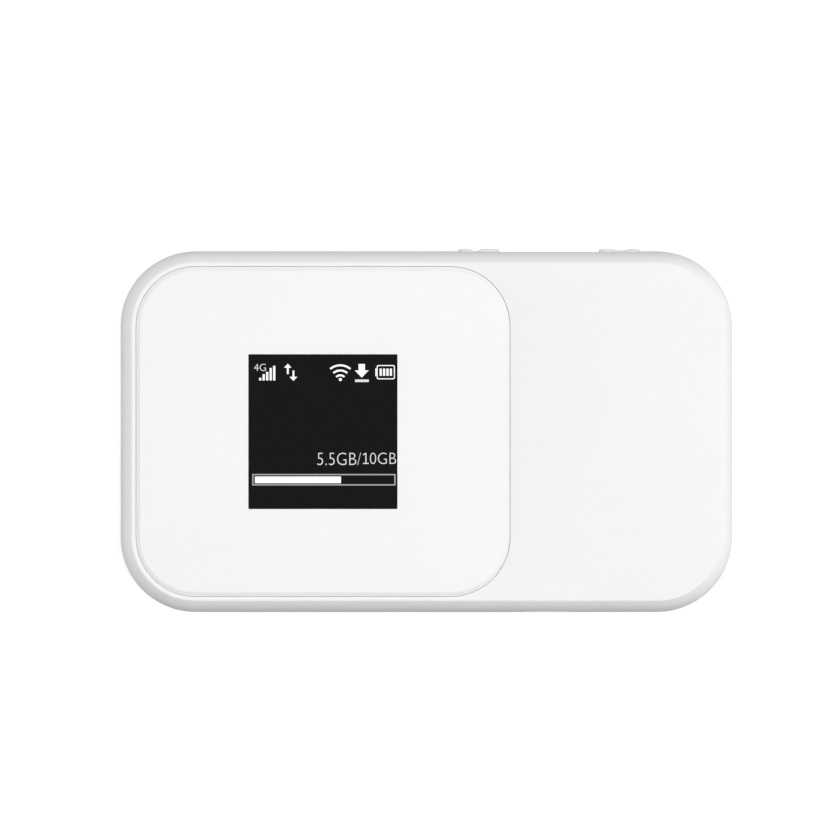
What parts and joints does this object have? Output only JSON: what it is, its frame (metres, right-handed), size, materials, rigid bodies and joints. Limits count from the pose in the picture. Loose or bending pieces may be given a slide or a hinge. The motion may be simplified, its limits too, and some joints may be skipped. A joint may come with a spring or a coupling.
{
  "type": "mobile hotspot",
  "caption": "Pocket mobile hotspot: white rounded shell with a flush square display in a raised gloss panel, edge push buttons, clip-on rear cover and removable battery.",
  "frame": {"origin": "middle of the flat back, on the surface that the hotspot lies on", "axes": "+Z out through the display, +X along the long side towards the bare end of the face, +Y towards the side with the push buttons"},
  "size_m": [0.107, 0.0636, 0.0145],
  "materials": {
    "shell_white": "fine matte spark texture, white",
    "frame_white": "plain moulded, off-white",
    "button_white": "satin white",
    "panel_gloss": "polished white",
    "window_black": "polished, back-printed black",
    "tape": "double-sided tissue tape",
    "foam": "soft black foam",
    "lcd_glass": "polarised display glass",
    "backlight_white": "white moulded frame",
    "film_amber": "polyimide film",
    "board_green": "green solder mask",
    "can_steel": "tin-plated sheet",
    "screw_steel": "zinc-plated",
    "contact_gold": "gold flash",
    "moulded_black": "black moulding",
    "card_white": "plain card",
    "cell_wrap": "plain silver-grey label wrap over the pouch"
  },
  "bodies": {
    "main_unit": {"front_housing": "shell_white", "front_panel": "panel_gloss", "panel_adhesive": "tape", "display_window": "window_black", "lcd_gasket": "foam", "lcd_panel": "lcd_glass", "backlight_unit": "backlight_white", "lcd_flex": "film_amber", "lcd_connector": "moulded_black", "middle_frame": "frame_white", "main_board": "board_green", "baseband_shield": "can_steel", "radio_shield": "can_steel", "baseband_chip": "moulded_black", "memory_chip": "moulded_black", "wlan_chip": "moulded_black", "transceiver_chip": "moulded_black", "power_amplifier": "moulded_black", "usb_socket": "can_steel", "usb_tongue": "moulded_black", "power_switch": "can_steel", "pairing_switch": "can_steel", "reset_switch": "can_steel", "sim_socket": "can_steel", "battery_connector": "moulded_black", "battery_contact_1": "contact_gold", "battery_contact_2": "contact_gold", "battery_contact_3": "contact_gold", "main_antenna": "film_amber", "diversity_antenna": "film_amber", "wlan_antenna": "film_amber", "main_antenna_clip": "contact_gold", "diversity_antenna_clip": "contact_gold", "wlan_antenna_clip": "contact_gold", "case_screw_1": "screw_steel", "case_screw_2": "screw_steel", "case_screw_3": "screw_steel", "case_screw_4": "screw_steel", "board_screw_1": "screw_steel", "board_screw_2": "screw_steel"},
    "power_key": {"power_button": "button_white", "power_switch_stem": "moulded_black"},
    "pairing_key": {"pairing_button": "button_white", "pairing_switch_stem": "moulded_black"},
    "reset_key": {"reset_button": "moulded_black"},
    "sim": {"sim_card": "card_white"},
    "battery": {"battery_cell": "cell_wrap", "battery_cap": "moulded_black", "battery_terminal_1": "contact_gold", "battery_terminal_2": "contact_gold", "battery_terminal_3": "contact_gold"},
    "back": {"rear_cover": "shell_white"}
  },
  "joints": [
    {"name": "power_button_press", "type": "slide", "parent": "main_unit", "child": "power_key", "axis": [0, -1, 0], "range_m": [0, 0.00035], "stiffness_N_per_m": 2500},
    {"name": "pairing_button_press", "type": "slide", "parent": "main_unit", "child": "pairing_key", "axis": [0, -1, 0], "range_m": [0, 0.00035], "stiffness_N_per_m": 2500},
    {"name": "reset_button_press", "type": "slide", "parent": "main_unit", "child": "reset_key", "axis": [0, 0, 1], "range_m": [0, 0.00025], "stiffness_N_per_m": 2500},
    {"name": "sim_card_slide", "type": "slide", "parent": "main_unit", "child": "sim", "axis": [0, -1, 0], "range_m": [0, 0.005]},
    {"name": "rear_cover_lift", "type": "slide", "parent": "main_unit", "child": "back", "axis": [0, 0, -1], "range_m": [0, 0.03]},
    {"name": "battery_lift", "type": "slide", "parent": "main_unit", "child": "battery", "axis": [0, 0, -1], "range_m": [0, 0.015]}
  ],
  "couplings": [
    {"joint": "battery_lift", "follows": "rear_cover_lift", "ratio": 0.5}
  ]
}
